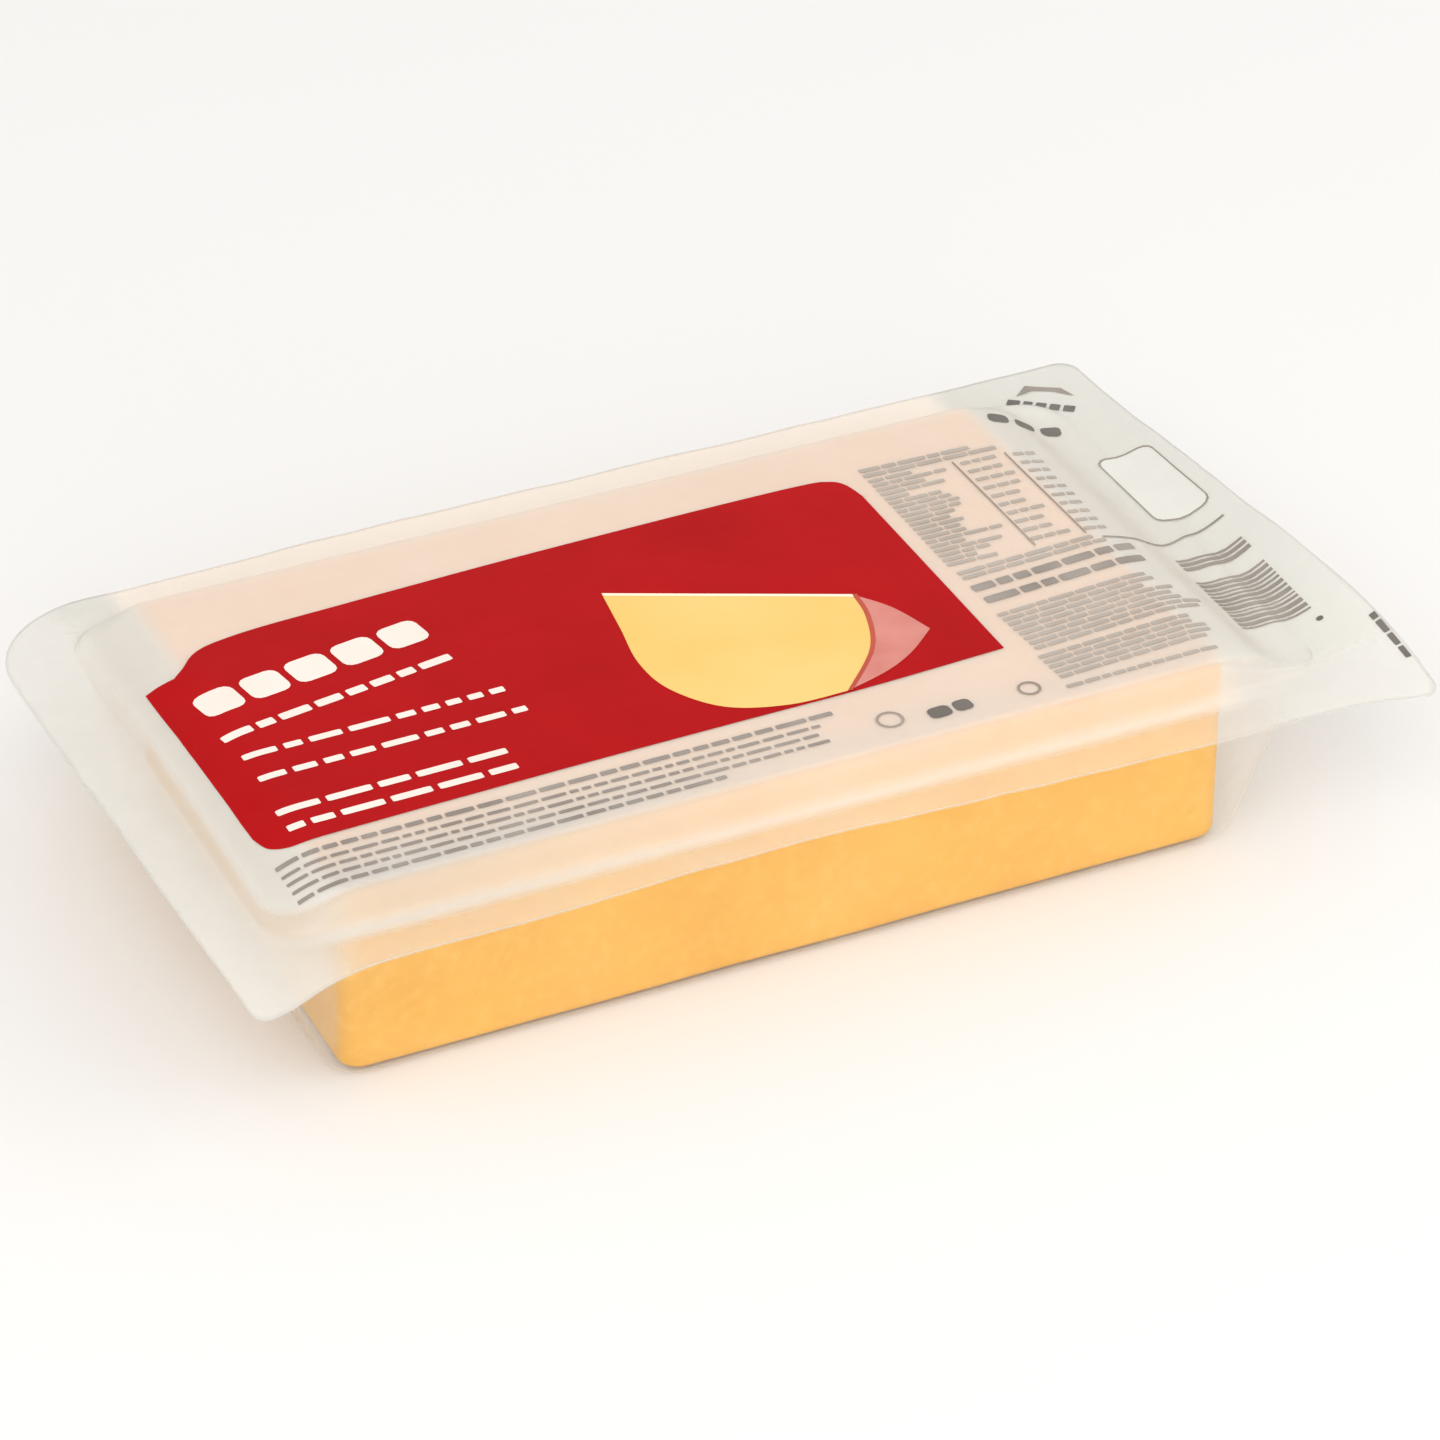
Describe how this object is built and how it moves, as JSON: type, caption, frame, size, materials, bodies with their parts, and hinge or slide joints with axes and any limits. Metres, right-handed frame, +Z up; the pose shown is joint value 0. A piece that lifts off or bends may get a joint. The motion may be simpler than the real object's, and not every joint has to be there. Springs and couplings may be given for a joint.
{
  "type": "film-packed cheese block",
  "caption": "Rectangular block of semi-hard yellow cheese sealed in a clear thermoformed film tray with a flange, under a printed milky lid film.",
  "frame": {"origin": "centre of the tray's flat underside, under the middle of the cheese block, on the surface the pack stands on", "axes": "+X along the block, towards the end with the wider film flange; +Y to the back long side; +Z up, from the tray to the lid"},
  "size_m": [0.2357, 0.1371, 0.0402],
  "materials": {
    "cheese": "smooth, slightly oily cut cheese",
    "tray_film": "clear glossy barrier film",
    "lid_film": "milky satin film with flexographic print"
  },
  "bodies": {
    "root": {"cheese_block": "cheese", "tray_film": "tray_film", "lid_film": "lid_film"}
  },
  "joints": []
}
